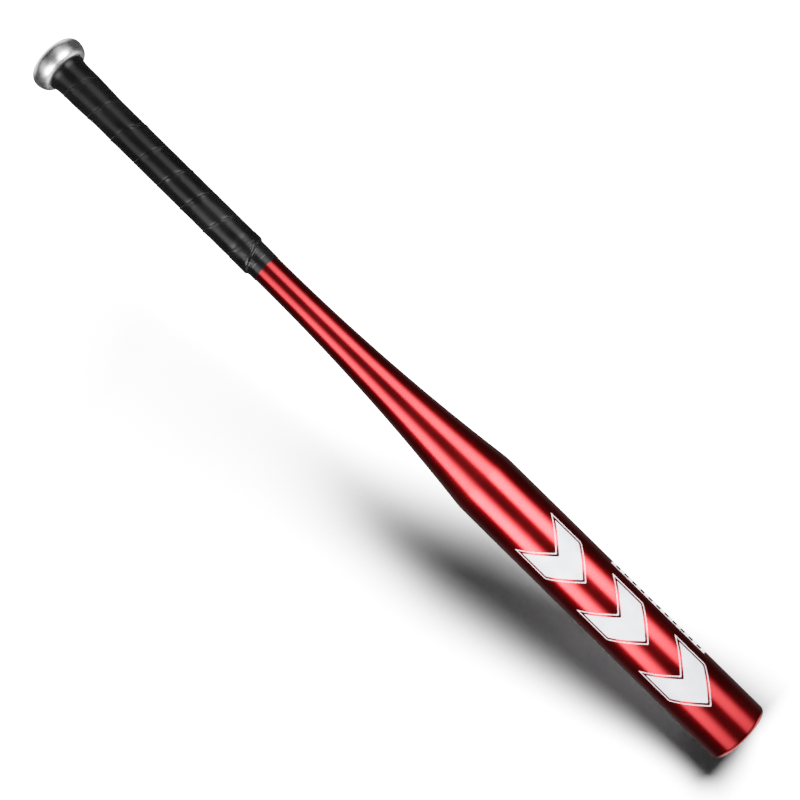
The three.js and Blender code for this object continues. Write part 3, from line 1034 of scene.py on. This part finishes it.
def strip_box(name, side):
    """A long softbox beside the camera, brightest over the bat's shoulder.

    side is +1 over the +Y side of the bat and -1 over the other.
    """
    middle = (BOX_LOW + BOX_HIGH) / 2
    width = 2 * BOX_DISTANCE * math.tan((BOX_HIGH - BOX_LOW) / 2)
    towards = Vector((0, side * math.sin(middle), math.cos(middle)))
    place = BOX_CENTRE + towards * BOX_DISTANCE
    light = area_light(name, place, BOX_CENTRE, BOX_LENGTH, width, Vector((1, 0, 0)))
    light.data.energy = BOX_RADIANCE * math.pi * BOX_LENGTH * width
    light.data.use_nodes = True
    tree = light.data.node_tree
    emission = next(n for n in tree.nodes if n.type == "EMISSION")
    surface = tree.nodes.new("ShaderNodeNewGeometry")
    parts = tree.nodes.new("ShaderNodeSeparateXYZ")
    tree.links.new(surface.outputs["Parametric"], parts.inputs[0])
    stops = [((x - BOX_CENTRE.x) / BOX_LENGTH + 0.5, level) for x, level in BOX_ALONG]
    along = blend_of(tree, parts.outputs["X"], stops)
    stops = []
    for degrees, level in BOX_ACROSS:
        y = math.tan(math.radians(degrees) - middle) * BOX_DISTANCE / width
        stops.append((0.5 + y, level))
    across = blend_of(tree, parts.outputs["Y"], stops)
    both = tree.nodes.new("ShaderNodeMath")
    both.operation = "MULTIPLY"
    tree.links.new(along, both.inputs[0])
    tree.links.new(across, both.inputs[1])
    tree.links.new(both.outputs[0], emission.inputs["Strength"])
    return light


def world():
    """White behind the bat; what it mirrors is dim, and brighter low down past its ends."""
    made = bpy.data.worlds.new("studio")
    bpy.context.scene.world = made
    made.use_nodes = True
    tree = made.node_tree
    background = tree.nodes["Background"]
    parts = tree.nodes.new("ShaderNodeSeparateXYZ")
    tree.links.new(tree.nodes.new("ShaderNodeTexCoord").outputs["Generated"], parts.inputs[0])

    def ramp(source, low, high, start, end):
        made = tree.nodes.new("ShaderNodeMapRange")
        made.interpolation_type = "SMOOTHSTEP"
        tree.links.new(source, made.inputs["Value"])
        for key, number in zip(("From Min", "From Max", "To Min", "To Max"), (low, high, start, end)):
            made.inputs[key].default_value = number
        return made.outputs["Result"]

    def maths(operation, *values):
        made = tree.nodes.new("ShaderNodeMath")
        made.operation = operation
        for socket, value in zip(made.inputs, values):
            if isinstance(value, bpy.types.NodeSocket):
                tree.links.new(value, socket)
            else:
                socket.default_value = value
        return made.outputs[0]

    x, z = parts.outputs["X"], parts.outputs["Z"]
    down = maths("MULTIPLY", z, -1.0)
    from_above = ramp(x, -0.1, 0.35, OVERHEAD_AT_KNOB, OVERHEAD_AT_BARREL)
    overhead = maths("MULTIPLY", ramp(z, 0.80, 0.95, 0, 1), from_above)
    below = ramp(down, 0.35, 0.8, 0, BELOW)
    low_down = ramp(down, -0.15, 0.15, 0, 1)
    past_ends = maths("MULTIPLY", low_down, ramp(maths("ABSOLUTE", x), 0.4, 0.8, 0, PAST_ENDS))
    dim = maths("ADD", maths("ADD", overhead, below), maths("ADD", past_ends, DIM))
    ray = tree.nodes.new("ShaderNodeLightPath").outputs
    mirrored = maths("MULTIPLY", ray["Is Glossy Ray"], dim)
    scattered = maths("MULTIPLY", ray["Is Diffuse Ray"], SCATTERED)
    seen = maths("MULTIPLY", ray["Is Camera Ray"], WHITE)
    level = maths("MAXIMUM", maths("MAXIMUM", mirrored, scattered), seen)
    tree.links.new(level, background.inputs["Strength"])
    background.inputs["Color"].default_value = (1, 1, 1, 1)


def film_response():
    """A camera's soft shoulder, 1 - e^-x, so that bright reflections don't clip."""
    view = bpy.context.scene.view_settings
    view.view_transform = "Standard"
    view.use_curve_mapping = True
    mapping = view.curve_mapping
    mapping.white_level = (WHITE, WHITE, WHITE)
    curve = mapping.curves[3]
    steps = 24
    for i in range(1, steps):
        x = (i / steps) ** 2
        curve.points.new(x, (1 - math.exp(-WHITE * x)) / (1 - math.exp(-WHITE)))
    mapping.update()


def camera():
    """Looks down at the bat's middle, with the bat along the picture's diagonal."""
    back = Vector((math.sin(CAMERA_TILT), 0, math.cos(CAMERA_TILT)))
    along = Vector((math.cos(CAMERA_TILT), 0, -math.sin(CAMERA_TILT)))
    across = Vector((0, 1, 0))
    right = along * math.cos(CAMERA_DIAGONAL) + across * math.sin(CAMERA_DIAGONAL)
    up = across * math.cos(CAMERA_DIAGONAL) - along * math.sin(CAMERA_DIAGONAL)
    data = bpy.data.cameras.new("camera")
    data.sensor_width = SENSOR
    data.lens = CAMERA_FOCUS * SENSOR
    made = bpy.data.objects.new("camera", data)
    axes = Matrix((right, up, back)).transposed().to_4x4()
    made.matrix_world = Matrix.Translation(CAMERA_TARGET + back * CAMERA_DISTANCE) @ axes
    bpy.context.scene.collection.objects.link(made)
    bpy.context.scene.camera = made


barrel_shell()
knob()
knob_plug()
end_cap()
grip_wrap()
finishing_tape()
printed_chevrons()
side_mark()
hidden_pieces()

camera()
world()
film_response()
ground = floor()
flag()
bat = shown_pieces()
key = key_light()
only_for(key, "lit_by_key", [ground])
for name, side in (("strip_far", 1), ("strip_near", -1)):
    strip = strip_box(name, side)
    only_for(strip, f"lit_by_{strip.name}", bat, alone=True)
